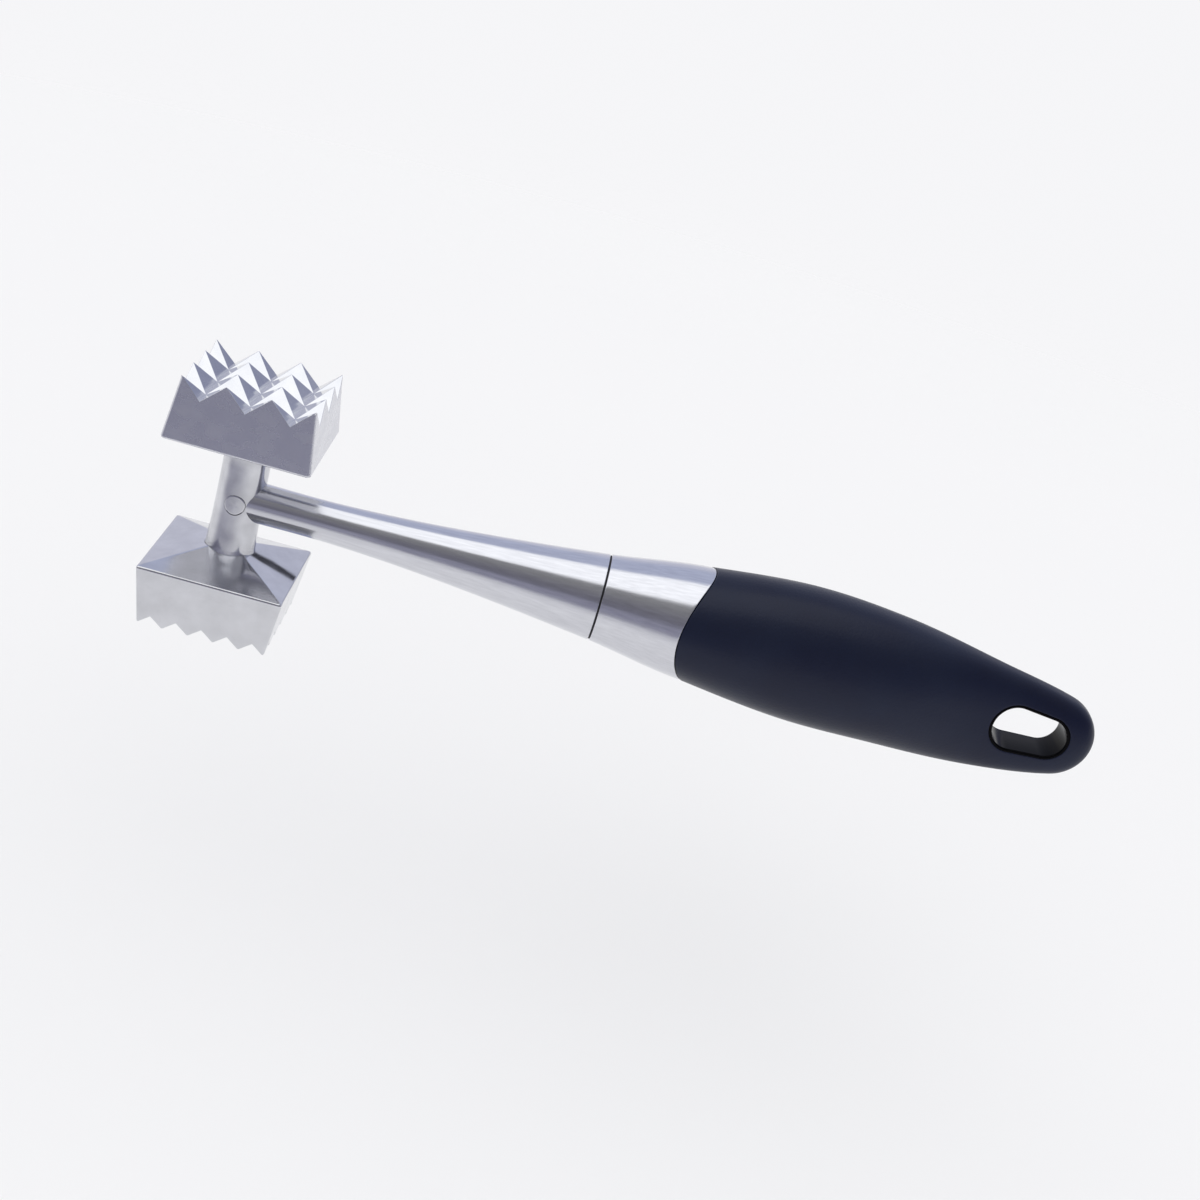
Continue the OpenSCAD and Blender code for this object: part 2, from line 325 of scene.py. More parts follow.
def cast_material(name, colour, roughness, mottle, wave_height, pit_depth=0, scuff_height=0):
    """Polished casting: mottling, waves and fine grain, and where asked tiny pits or upright scuffs."""
    material, nodes, links, shader = new_material(name, colour, 1.0, roughness)
    blotches = stretched_noise(nodes, links, 170, detail=3, rough=0.6)
    dark = [c * (1 - mottle) for c in colour]
    links.new(tint(nodes, links, blotches, dark, colour), shader.inputs["Base Color"])
    clouds = stretched_noise(nodes, links, 200, (1, 1, 1.4), detail=2)
    links.new(spread(nodes, links, clouds, roughness * 0.75, roughness * 1.3, 0.2, 0.8),
              shader.inputs["Roughness"])
    waves = stretched_noise(nodes, links, 110, detail=1)
    relief = bump(nodes, links, shader, waves, wave_height)
    grain = stretched_noise(nodes, links, 1300, detail=2)
    relief = bump(nodes, links, shader, grain, 0.00000015, 1.0, relief)
    if pit_depth:
        specks = stretched_noise(nodes, links, 620, detail=1, rough=0.3)
        pits = spread(nodes, links, specks, 0, 1, 0.22, 0.34)
        bump(nodes, links, shader, pits, pit_depth, 0.8, relief)
    if scuff_height:
        scuffs = stretched_noise(nodes, links, 330, (1, 1, 0.3), detail=4, rough=0.6)
        bump(nodes, links, shader, scuffs, scuff_height, 1.0, relief)
    return material


def facet_material(name, roughness, wave_height):
    """The low pyramids behind the teeth: polished casting with faint clouds."""
    colour = (0.67, 0.675, 0.71)
    material, nodes, links, shader = new_material(name, colour, 1.0, roughness)
    haze = stretched_noise(nodes, links, 180, detail=4)
    links.new(spread(nodes, links, haze, roughness * 0.7, roughness * 1.4, 0.2, 0.8),
              shader.inputs["Roughness"])
    clouds = stretched_noise(nodes, links, 130, detail=5, rough=0.6)
    links.new(tint(nodes, links, clouds, [c * 0.86 for c in colour], colour), shader.inputs["Base Color"])
    waves = stretched_noise(nodes, links, 160, detail=1)
    bump(nodes, links, shader, waves, wave_height)
    return material


def tooth_material():
    """Tooth faces, polished almost to a mirror."""
    material, nodes, links, shader = new_material("tooth_polish", (0.71, 0.715, 0.74), 1.0, 0.1)
    haze = stretched_noise(nodes, links, 320, detail=3)
    links.new(spread(nodes, links, haze, 0.07, 0.16, 0.2, 0.8), shader.inputs["Roughness"])
    stains = stretched_noise(nodes, links, 240, detail=4)
    links.new(tint(nodes, links, stains, (0.66, 0.67, 0.71), (0.72, 0.725, 0.745)),
              shader.inputs["Base Color"])
    waves = stretched_noise(nodes, links, 150, detail=1)
    relief = bump(nodes, links, shader, waves, 0.00001)
    lines = stretched_noise(nodes, links, 1400, (1, 1, 0.15), detail=2)
    bump(nodes, links, shader, lines, 0.0000015, 0.5, relief)
    return material


def satin_material():
    """Satin metal with fine streaks along the handle."""
    colour = (0.70, 0.705, 0.745)
    material, nodes, links, shader = new_material("satin_metal", colour, 1.0, 0.22)
    streaks = stretched_noise(nodes, links, 1700, (0.015, 1, 1), detail=3)
    broad = stretched_noise(nodes, links, 70, (0.5, 1, 1), detail=3)
    links.new(tint(nodes, links, streaks, (0.61, 0.615, 0.655), colour), shader.inputs["Base Color"])
    links.new(spread(nodes, links, broad, 0.13, 0.21, 0.2, 0.8), shader.inputs["Roughness"])
    relief = bump(nodes, links, shader, streaks, 0.000006, 0.7)
    scratches = stretched_noise(nodes, links, 900, (0.05, 1, 1), detail=4, rough=0.7)
    bump(nodes, links, shader, scratches, 0.000004, 0.7, relief)
    return material


def steel_material():
    """Plain turned steel with rings of tool marks."""
    material, nodes, links, shader = new_material("plain_steel", (0.56, 0.56, 0.58), 1.0, 0.34)
    rings = stretched_noise(nodes, links, 1400, (1, 0.08, 0.08), detail=2)
    links.new(spread(nodes, links, rings, 0.28, 0.42), shader.inputs["Roughness"])
    bump(nodes, links, shader, rings, 0.000004, 0.6)
    return material


def rubber_material():
    """Soft-touch black with a fine grain and a broad sheen."""
    colour = (0.003, 0.006, 0.024)
    material, nodes, links, shader = new_material("soft_grip", colour, 0.0, 0.36, Specular_IOR_Level=0.28)
    hue = stretched_noise(nodes, links, 45, detail=3)
    links.new(tint(nodes, links, hue, (0.002, 0.004, 0.020), (0.0035, 0.0075, 0.027)),
              shader.inputs["Base Color"])
    wear = stretched_noise(nodes, links, 75, (0.6, 1, 1), detail=4)
    links.new(spread(nodes, links, wear, 0.31, 0.42), shader.inputs["Roughness"])
    grain = stretched_noise(nodes, links, 4200, detail=2)
    relief = bump(nodes, links, shader, grain, 0.000012, 0.5)
    pebbles = stretched_noise(nodes, links, 1300, detail=2, rough=0.6)
    bump(nodes, links, shader, pebbles, 0.00004, 1.0, relief)
    return material


def plastic_material(name, colour, roughness, shine):
    """Moulded black plastic with a faint orange-peel."""
    material, nodes, links, shader = new_material(name, colour, 0.0, roughness, Specular_IOR_Level=shine)
    peel = stretched_noise(nodes, links, 500, detail=2)
    links.new(spread(nodes, links, peel, roughness * 0.8, roughness * 1.25), shader.inputs["Roughness"])
    links.new(tint(nodes, links, peel, [c * 0.8 for c in colour], colour), shader.inputs["Base Color"])
    bump(nodes, links, shader, peel, 0.000006, 0.5)
    return material


def seal_material():
    """Matt black rubber of the seam ring."""
    material, nodes, links, shader = new_material("seal_rubber", (0.012, 0.012, 0.014), 0.0, 0.7)
    speckle = stretched_noise(nodes, links, 2500, detail=2)
    links.new(spread(nodes, links, speckle, 0.6, 0.8), shader.inputs["Roughness"])
    links.new(tint(nodes, links, speckle, (0.009, 0.009, 0.011), (0.016, 0.016, 0.019)),
              shader.inputs["Base Color"])
    return material


coarse_cast = cast_material("cast_smooth", (0.66, 0.665, 0.71), 0.27, 0.03, 0.000008)
fine_cast = cast_material("cast_mottled", (0.69, 0.695, 0.725), 0.17, 0.12, 0.00003, pit_depth=0.00002)
post_cast = cast_material("cast_post", (0.66, 0.665, 0.70), 0.13, 0.22, 0.00008, scuff_height=0.00002)
pin_cast = cast_material("pin_ground", (0.66, 0.665, 0.70), 0.14, 0.22, 0.00008, scuff_height=0.00002)
facet_satin = facet_material("facet_satin", 0.15, 0.000008)
facet_mirror = facet_material("facet_mirror", 0.015, 0.0000015)
tooth_polish = tooth_material()
satin_metal = satin_material()
plain_steel = steel_material()
seal_rubber = seal_material()
soft_grip = rubber_material()
core_plastic = plastic_material("core_plastic", (0.03, 0.03, 0.034), 0.4, 0.5)
liner_plastic = plastic_material("liner_plastic", (0.0015, 0.0015, 0.002), 0.14, 0.05)


# ---------------------------------------------------------------- head

def toothed_block(name, teeth, pitch, depth, tooth_edge, corner_edge, side_material, up):
    """A cast block: teeth from edge to edge, drafted sides and a low pyramid with the post's seat."""
    ring = 96
    half_pitch = pitch / 2
    right = half_pitch * (teeth - 1)
    lines = 2 * teeth - 1
    draft = (BLOCK_HALF - right) / (TIP_Z - BACK_EDGE_Z)
    points = []
    for j in range(lines):
        for i in range(lines):
            x, y, z = -right + i * half_pitch, -right + j * half_pitch, TIP_Z
            if i % 2 or j % 2:
                z -= depth
                if i in (0, lines - 1):
                    x += math.copysign(depth * draft, x)
                if j in (0, lines - 1):
                    y += math.copysign(depth * draft, y)
            points.append((x, y, z))
    faces = []
    for j in range(lines - 1):
        for i in range(lines - 1):
            corners = [(i, j), (i + 1, j), (i + 1, j + 1), (i, j + 1)]
            tip = next(k for k, (a, b) in enumerate(corners) if a % 2 == 0 and b % 2 == 0)
            loop = [corners[(tip + k) % 4][1] * lines + corners[(tip + k) % 4][0] for k in range(4)]
            faces += [(loop[0], loop[1], loop[2]), (loop[0], loop[2], loop[3])]

    # The back: rings from the square edge to the round seat, then down to the seat's floor
    apex = BACK_EDGE_Z - BACK_FALL
    slope = BACK_FALL / BLOCK_HALF
    turns = [2 * math.pi * k / ring for k in range(ring)]
    square = len(points)
    for a in turns:
        reach = BLOCK_HALF / max(abs(math.cos(a)), abs(math.sin(a)))
        points.append((reach * math.cos(a), reach * math.sin(a), BACK_EDGE_Z))
    seat = len(points)
    for a in turns:
        x, y = SEAT_R * math.cos(a), SEAT_R * math.sin(a)
        points.append((x, y, max(apex + slope * max(abs(x), abs(y)), SEAT_Z - 1)))
    floor = len(points)
    points += [(SEAT_R * math.cos(a), SEAT_R * math.sin(a), SEAT_Z) for a in turns]
    for k in range(ring):
        n = (k + 1) % ring
        faces.append((square + k, square + n, seat + n, seat + k))
        faces.append((seat + k, seat + n, floor + n, floor + k))
    faces.append(tuple(floor + k for k in range(ring)))

    # The four sides, each one flat face from the zigzag to the back edge
    eighth = ring // 8
    borders = {
        0: [j * lines + lines - 1 for j in range(lines)],
        1: [(lines - 1) * lines + i for i in range(lines - 1, -1, -1)],
        2: [j * lines for j in range(lines - 1, -1, -1)],
        3: list(range(lines)),
    }
    for side, chain in borders.items():
        first = 2 * eighth * side - eighth
        back = [square + (first + k) % ring for k in range(2 * eighth + 1)]
        faces.append(tuple(chain + back[::-1]))

    sign = 1 if up else -1
    piece = make_piece(name, [(x, y, sign * z) for x, y, z in points], faces, smooth_faces=False)
    piece.data.materials.append(side_material)
    for material in (tooth_polish, facet_satin, facet_mirror):
        piece.data.materials.append(material)
    weigh_edges(piece, depth, tooth_edge / EDGE_R, corner_edge / EDGE_R)
    bevel = piece.modifiers.new("edges", "BEVEL")
    bevel.limit_method = "WEIGHT"
    bevel.width = EDGE_R * MM
    bevel.segments = 4
    freeze(piece)
    finish_block(piece, depth)
    return piece


def weigh_edges(piece, depth, tooth_weight, corner_weight):
    """Bevel weights, as shares of EDGE_R: small on teeth and creases, larger on edges and corners."""
    mesh = piece.data
    bm = bmesh.new()
    bm.from_mesh(mesh)
    layers = bm.edges.layers.float
    weight = layers.get("bevel_weight_edge") or layers.new("bevel_weight_edge")
    for edge in bm.edges:
        if len(edge.link_faces) < 2:
            continue
        angle = edge.calc_face_angle(0)
        if angle < math.radians(8):
            continue
        a, b = (abs(v.co.z) / MM for v in edge.verts)
        on_teeth = min(a, b) > TIP_Z - depth - 0.01
        on_back = max(a, b) < BACK_EDGE_Z + 0.01
        radius = max(math.hypot(v.co.x - HEAD_X, v.co.y) for v in edge.verts) / MM
        if on_teeth:
            edge[weight] = tooth_weight
        elif on_back and radius < SEAT_R + 0.1:
            edge[weight] = 0.04
        elif on_back and min(a, b) < BACK_EDGE_Z - 0.01:
            edge[weight] = 0.35
        elif on_back:
            edge[weight] = 0.5
        else:
            edge[weight] = corner_weight
    bm.to_mesh(mesh)
    bm.free()


def finish_block(piece, depth):
    """Polishes the teeth and the back, most towards the handle, and keeps flat faces flat."""
    mesh = piece.data
    tooth, back, back_by_handle = 1, 2, 3
    for polygon in mesh.polygons:
        steep = 0.3 < abs(polygon.normal.z) < 0.97
        high = abs(polygon.center.z) / MM > TIP_Z - depth - 0.05
        behind = abs(polygon.center.z) / MM < BACK_EDGE_Z - 0.2 and abs(polygon.normal.z) > 0.9
        if steep and high:
            polygon.material_index = tooth
        elif behind:
            polygon.material_index = back_by_handle if polygon.normal.x > 0.25 else back
        polygon.use_smooth = True
    weighted = piece.modifiers.new("flat faces", "WEIGHTED_NORMAL")
    weighted.mode = "FACE_AREA"
    weighted.weight = 80
    weighted.keep_sharp = True
    freeze(piece)


def turned_post():
    """The round post, slightly uneven as cast, and wider at its ends, which sit in the blocks."""
    sides, rings = 160, 60
    turns = np.arange(sides) * 2 * math.pi / sides
    levels = np.linspace(-SEAT_Z + 0.9, SEAT_Z - 0.9, rings)
    profile = [(0.0, -SEAT_Z), (POST_END_R, -SEAT_Z), (POST_END_R, -SEAT_Z + 0.3)]
    profile += [(post_radius(z), z) for z in levels]
    profile += [(POST_END_R, SEAT_Z - 0.3), (POST_END_R, SEAT_Z), (0.0, SEAT_Z)]
    points = []
    for r, z in profile:
        for a in turns:
            x, y = r * math.cos(a), r * math.sin(a)
            uneven = 0.045 * noise.noise(Vector((x, y, z * 0.8)) * 0.32) if abs(z) < SEAT_Z - 1.2 else 0
            grow = 1 + uneven / r if r > 0 else 0
            points.append((x * grow, y * grow, z))
    piece = make_piece("head_post_cast", points, ring_faces(len(profile), sides))
    cut_pin_hole(piece)
    piece.data.materials.append(post_cast)
    return piece


def post_radius(z):
    """Radius of the post: it swells gently towards the fine block, and a little into the coarse one."""
    full = POST_END_R - POST_MIDDLE_R
    towards_fine = min(1.0, max(0.0, -z / SEAT_Z)) ** 1.8
    towards_coarse = max(0.0, z / SEAT_Z - 0.7) / 0.3
    return POST_MIDDLE_R + full * max(towards_fine, towards_coarse**2)


def cut_pin_hole(post):
    """Cuts the cross hole for the pin, a little wider than the pin and a little off its middle."""
    sides = 64
    turns = np.arange(sides) * 2 * math.pi / sides
    hole_r, shift, past_post = PIN_R + 0.06, 0.055, 9
    rings = [[(shift + hole_r * math.cos(a), y, hole_r * math.sin(a)) for a in turns]
             for y in (-past_post, past_post)]
    points = [p for r in rings for p in r]
    faces = ring_faces(2, sides) + [tuple(range(sides)), tuple(range(2 * sides - 1, sides - 1, -1))]
    cutter = make_piece("pin_hole", points, faces, smooth_faces=False)
    cut = post.modifiers.new("hole", "BOOLEAN")
    cut.operation = "DIFFERENCE"
    cut.solver = "EXACT"
    cut.object = cutter
    freeze(post)
    bpy.data.objects.remove(cutter)
    post.data.polygons.foreach_set("use_smooth", [True] * len(post.data.polygons))
    post.data.set_sharp_from_angle(angle=math.radians(35))


def pin_piece():
    """The cross pin, with both ends ground to the post's round side and their rims just broken."""
    sides = 64
    turns = np.arange(sides) * 2 * math.pi / sides
    steps = [(0.0, 0.0), (0.3, 0.0), (0.6, 0.0), (0.85, 0.0), (0.985, 0.0), (1.0, 0.04)]
    points = []
    for direction in (-1, 1):
        for share, sunk in steps[::-direction]:
            r = PIN_R * share
            for a in turns:
                x, z = r * math.cos(a), r * math.sin(a)
                y = math.sqrt(POST_R**2 - x * x) - (POST_R - POST_MIDDLE_R) - sunk
                points.append((x, direction * y, z))
    piece = make_piece("head_pin_ground", points, ring_faces(2 * len(steps), sides))
    piece.data.set_sharp_from_angle(angle=math.radians(50))
    piece.data.materials.append(pin_cast)
    return piece


# ---------------------------------------------------------------- shaft, seam ring and collar

def shaft_piece():
    """The flared tube: a saddle on the post in front, a broken rear edge, and its bore."""
    sides, rings = 192, 110
    turns = np.arange(sides) * 2 * math.pi / sides
    lip = 0.25
    points = []

    def saddle(r, a):
        return math.sqrt(POST_R**2 - (r * math.cos(a)) ** 2) - 0.12

    for k in range(rings + 1):
        t = k / rings
        for a in turns:
            r = shaft_radius(POST_R)
            x = saddle(r, a)
            x += (SEAM_REACH - lip - x) * t
            r = shaft_radius(x)
            points.append((x, r * math.cos(a), r * math.sin(a)))
    rear_r = shaft_radius(SEAM_REACH)
    rear = [(SEAM_REACH - lip * (1 - math.sin(b)), rear_r - lip * (1 - math.cos(b)))
            for b in np.radians([25, 50, 75, 90])]
    # The bore: a socket for the core's nose, then a taper down to the rod
    rear += [(SEAM_REACH, NOSE_R + 0.02), (SEAM_REACH - 7.6, NOSE_R + 0.02),
             (SEAM_REACH - 7.7, NOSE_R - 1), (FLARE_REACH, shaft_radius(FLARE_REACH) - 1), (26.0, BORE_R)]
    for x, r in rear:
        points += [(x, r * math.cos(a), r * math.sin(a)) for a in turns]
    points += [(saddle(BORE_R, a), BORE_R * math.cos(a), BORE_R * math.sin(a)) for a in turns]
    count = len(points) // sides
    piece = make_piece("shaft_flared", points, ring_faces(count, sides, closed=True))
    piece.data.set_sharp_from_angle(angle=math.radians(40))
    piece.data.materials.append(satin_metal)
    return piece


def seal_piece():
    """The dark ring in the seam, a little below flush."""
    outer = SEAM_R - 0.3
    corners = [(SEAM_REACH, NOSE_R + 0.02), (SEAM_REACH, outer), (COLLAR_FRONT, outer),
               (COLLAR_FRONT, NOSE_R + 0.02)]
    piece = turned_piece("seam_ring", rounded_profile(corners, [0, 0.12, 0.12, 0], 4))
    piece.data.set_sharp_from_angle(angle=math.radians(50))
    piece.data.materials.append(seal_rubber)
    return piece


def front_arc(z):
    """Reach of the arc along which the collar's back and the grip's front meet."""
    return GRIP_REACH + FRONT_ARC_R - np.sqrt(FRONT_ARC_R**2 - z * z)


def arc_edge(angle, shrink=0.0):
    """Reach where the surface, shrunk by so much, meets the arc at this angle round the handle."""
    x = np.full_like(angle, GRIP_REACH)
    for _ in range(6):
        x = front_arc((shaft_radius(x) - shrink) * np.sin(angle))
    return x


def collar_piece():
    """The flared collar, with a curved back edge that the grip fills."""
    sides, rings = 192, 40
    lip = 0.2
    turns = np.arange(sides) * 2 * math.pi / sides
    points = []
    for b in np.radians([90, 65, 40, 20]):
        x, sunk = COLLAR_FRONT + lip * (1 - math.sin(b)), lip * (1 - math.cos(b))
        points += [(x, (shaft_radius(x) - sunk) * math.cos(a), (shaft_radius(x) - sunk) * math.sin(a))
                   for a in turns]
    for k in range(rings + 1):
        for a in turns:
            x = COLLAR_FRONT + lip
            x += (arc_edge(a) - lip - x) * k / rings
            points.append((x, shaft_radius(x) * math.cos(a), shaft_radius(x) * math.sin(a)))
    for b in np.radians([25, 50, 75, 90]):
        for a in turns:
            x = arc_edge(a) - lip * (1 - math.sin(b))
            r = shaft_radius(x) - lip * (1 - math.cos(b))
            points.append((x, r * math.cos(a), r * math.sin(a)))
    for a in turns:
        x = arc_edge(a, COLLAR_WALL)
        r = shaft_radius(x) - COLLAR_WALL
        points.append((x, r * math.cos(a), r * math.sin(a)))
    front_inner = shaft_radius(COLLAR_FRONT) - COLLAR_WALL
    points += [(COLLAR_FRONT, front_inner * math.cos(a), front_inner * math.sin(a)) for a in turns]
    piece = make_piece("collar_flared", points, ring_faces(len(points) // sides, sides, closed=True))
    piece.data.set_sharp_from_angle(angle=math.radians(50))
    piece.data.materials.append(satin_metal)
    return piece


# ---------------------------------------------------------------- grip and slot liner

LOOP_START = 172.0
BLEND_RUN = 16.0
SLOT_BACK = np.array((END_CX - 2.25, 0.45 - LOOP_DROOP))
SLOT_AXIS = np.array((-math.cos(SLOT_TILT), math.sin(SLOT_TILT)))
SLOT_FRONT = SLOT_BACK + SLOT_RUN * SLOT_AXIS
SLOT_SPREAD = math.asin((SLOT_FRONT_R - SLOT_BACK_R) / SLOT_RUN)
SKIN_EDGE_R = 0.16
SKIN_OFFSET = LINER_WALL + 0.02
HALF_STEPS = 80


def outline_points(count):
    """The loop's side outline, evenly spaced, from the top at LOOP_START round to the bottom."""
    fine = 300
    top_x = np.linspace(LOOP_START, TANGENT_REACH, fine, endpoint=False)
    turn = np.linspace(math.pi / 2 - TANGENT, TANGENT - math.pi / 2, fine)
    end = np.c_[END_CX + LOOP_END_R * np.cos(turn), LOOP_END_R * np.sin(turn) - LOOP_DROOP]
    bottom_x = top_x[::-1]
    line = np.r_[np.c_[top_x, above(top_x)], end, np.c_[bottom_x, -below(bottom_x)]]
    run = np.r_[0, np.cumsum(np.linalg.norm(np.diff(line, axis=0), axis=1))]
    at = np.linspace(0, run[-1], count + 1)
    return np.c_[np.interp(at, run, line[:, 0]), np.interp(at, run, line[:, 1])]


OUTLINE = outline_points(400)


def distance_to_outline(flat):
    """Distance in the side view from each point to the loop's outline."""
    start, run = OUTLINE[:-1], np.diff(OUTLINE, axis=0)
    nearest = np.full(len(flat), np.inf)
    for a, along in zip(start, run):
        t = np.clip((flat - a) @ along / (along @ along), 0, 1)
        nearest = np.minimum(nearest, np.linalg.norm(flat - a - t[:, None] * along, axis=1))
    return nearest


def bulge(share, n):
    """Height of a superellipse at a share of its half-width."""
    return np.maximum(0.0, 1 - np.minimum(1.0, np.abs(share)) ** n) ** (1 / n)


def side_height(flat):
    """Half-thickness of the handle at points of its side view."""
    x, z = flat[:, 0], flat[:, 1]
    n = squareness(x)
    half_height = np.maximum((above(x) + below(x)) / 2, 0.001)
    rounded = bulge((z - (above(x) - below(x)) / 2) / half_height, n)
    blend = np.clip((x - LOOP_START) / BLEND_RUN, 0, 1)
    blend = blend * blend * (3 - 2 * blend)
    reach = np.minimum(x, END_CX)
    run_in = (above(reach) + below(reach)) / 2
    pillow = bulge(1 - np.minimum(1.0, distance_to_outline(flat) / run_in), n)
    return half_width(x) * ((1 - blend) * rounded + blend * pillow)


def slot_foot(flat):
    """The slot's middle, outward direction and radius that belong to each point round the slot."""
    normal = np.array((-SLOT_AXIS[1], SLOT_AXIS[0]))
    offset = flat - SLOT_BACK
    side = np.where(offset @ normal < 0, -1.0, 1.0)
    along, across = offset @ SLOT_AXIS, np.abs(offset @ normal)
    # On the straight sides the outward direction leans back, as the slot widens to the front
    lean_back, lean_out = -math.sin(SLOT_SPREAD), math.cos(SLOT_SPREAD)
    t = np.clip((along * lean_out - across * lean_back) / (SLOT_RUN * lean_out), 0, 1)
    middle = SLOT_BACK + (t * SLOT_RUN)[:, None] * SLOT_AXIS
    direction = flat - middle
    straight = lean_back * SLOT_AXIS + (side * lean_out)[:, None] * normal
    direction = np.where(((t > 0) & (t < 1))[:, None], straight, direction)
    direction /= np.linalg.norm(direction, axis=1)[:, None]
    return middle, direction, SLOT_BACK_R + t * (SLOT_FRONT_R - SLOT_BACK_R)


def slot_chain(grow, steps):
    """Points of the slot's outline, larger by grow all round."""
    heading = math.atan2(-SLOT_AXIS[1], -SLOT_AXIS[0])
    quarter = math.pi / 2
    chain = []
    for centre, r, first, last in (
            (SLOT_BACK, SLOT_BACK_R, -quarter + SLOT_SPREAD, quarter - SLOT_SPREAD),
            (SLOT_FRONT, SLOT_FRONT_R, quarter - SLOT_SPREAD, 3 * quarter + SLOT_SPREAD)):
        for a in heading + np.linspace(first, last, steps):
            chain.append(centre + (r + grow) * np.array((math.cos(a), math.sin(a))))
    return np.array(chain)


def section_points(x, angle, side):
    """Points of the handle's section at x: angle 90 degrees is the top, and side is -1 or 1."""
    n = squareness(x)
    z = (above(x) - below(x)) / 2
    z = z + (above(x) + below(x)) / 2 * np.sign(np.sin(angle)) * np.abs(np.sin(angle)) ** (2 / n)
    y = side * half_width(x) * np.abs(np.cos(angle)) ** (2 / n)
    return np.c_[x, y, z]


def half_rounds():
    """Angle and side of each point round a section: down the near side and up the far side."""
    angle = math.pi / 2 - math.pi * np.arange(HALF_STEPS + 1) / HALF_STEPS
    angles = np.r_[angle, angle[-2:0:-1]]
    sides = np.r_[-np.ones(HALF_STEPS + 1), np.ones(HALF_STEPS - 1)]
    return angles, sides


def grip_front_rings():
    """Rings of the grip from its hidden bore over the rounded front lip to LOOP_START."""
    angles, sides = half_rounds()
    bore_r = GRIP_FRONT_R - COLLAR_WALL + 0.36
    core_end, core_end_r = 164.0, 8.7

    def round_ring(x, r):
        return np.c_[np.full_like(angles, 1) * x, sides * r * np.abs(np.cos(angles)), r * np.sin(angles)]

    rings = [round_ring(core_end + 4, 4.6), round_ring(core_end + 1, core_end_r - 0.5),
             round_ring(core_end, core_end_r), round_ring(GRIP_REACH + 9, bore_r)]
    rings.append(round_ring(front_arc(bore_r * np.sin(angles)) + EDGE_GAP, bore_r))
    lip = 0.3
    edge = arc_edge(angles) + EDGE_GAP
    for b in np.radians([90, 65, 40, 20]):
        ring = section_points(edge + lip * (1 - math.sin(b)), angles, sides)
        ring[:, 1:] *= 1 - lip * (1 - math.cos(b)) / GRIP_FRONT_R
        rings.append(ring)
    spans = 100
    for k in range(spans + 1):
        rings.append(section_points(edge + lip + (LOOP_START - edge - lip) * k / spans, angles, sides))
    return rings


def grip_piece():
    """The soft grip: one closed skin with a rounded front lip and the slot through its loop."""
    rings = grip_front_rings()
    sides = 2 * HALF_STEPS
    points = [p for ring in rings for p in ring]
    faces = ring_faces(len(rings), sides) + [tuple(range(sides))]
    last = (len(rings) - 1) * sides

    # Each half of the loop is a band from the outline and the joining section to the slot
    outline = outline_points(160)
    rim = range(len(points), len(points) + len(outline) - 2)
    points += [(x, 0.0, z) for x, z in outline[1:-1]]
    up = range(HALF_STEPS, 0, -1)
    joining = np.array([(points[last + k][0], points[last + k][2]) for k in up])
    flat = np.r_[outline[:-1], joining]
    middle, direction, radius = slot_foot(flat)
    edge = middle + direction * (radius + SKIN_OFFSET + SKIN_EDGE_R)[:, None]
    edges = {}
    rows = 35
    for side in (-1, 1):
        previous = [last, *rim] + [last + (k if side < 0 else (sides - k) % sides) for k in up]
        bands = [(flat + (edge - flat) * t**2, 0.0) for t in np.linspace(0, 1, rows + 1)[1:]]
        bands += [(edge - direction * SKIN_EDGE_R * math.sin(b), SKIN_EDGE_R * (1 - math.cos(b)))
                  for b in np.radians([25, 50, 75, 90])]
        rim_height = side_height(edge)
        for k, (spot, sunk) in enumerate(bands):
            height = (side_height(spot) if k < rows else rim_height) - sunk
            current = range(len(points), len(points) + len(spot))
            points += [(x, side * h, z) for (x, z), h in zip(spot, height)]
            faces += band(previous, current)
            previous = current
        edges[side] = previous
    faces += band(edges[-1], edges[1])
    piece = make_piece("grip_soft", points, faces)
    piece.data.set_sharp_from_angle(angle=math.radians(60))
    piece.data.materials.append(soft_grip)
    return piece


def band(outer, inner):
    """Quads between two closed chains of points."""
    count = len(outer)
    return [(outer[k], outer[(k + 1) % count], inner[(k + 1) % count], inner[k]) for k in range(count)]


def liner_piece():
    """The hard liner: the glossy wall of the slot, with rounded rims just flush with the soft skin."""
    steps, inner_r, outer_r = 48, 0.42, 0.1
    rim_height = side_height(slot_chain(LINER_WALL, steps)) - 0.04
    rows = [(LINER_WALL, 1.4)]
    rows += [(LINER_WALL - outer_r * (1 - math.cos(b)), outer_r * (1 - math.sin(b)))
             for b in np.radians([0, 30, 60, 90])]
    rows += [(inner_r * (1 - math.cos(b)), inner_r * (1 - math.sin(b)))
             for b in np.radians([90, 75, 60, 45, 30, 15, 0])]
    rings = []
    for side, ordered in ((-1, rows), (1, rows[::-1])):
        for grow, sunk in ordered:
            chain = slot_chain(grow, steps)
            rings.append(np.c_[chain[:, 0], side * (rim_height - sunk), chain[:, 1]])
    points = [p for ring in rings for p in ring]
    piece = make_piece("slot_liner_gloss", points, ring_faces(len(rings), len(rings[0]), closed=True))
    piece.data.set_sharp_from_angle(angle=math.radians(50))
    piece.data.materials.append(liner_plastic)
    return piece


# ---------------------------------------------------------------- the pieces on their bodies

def place(piece, node, slot_name):
    """Puts a piece on the body, in place of a CAD node; slot_name is not used."""
    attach(piece, BODY)
    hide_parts(node)


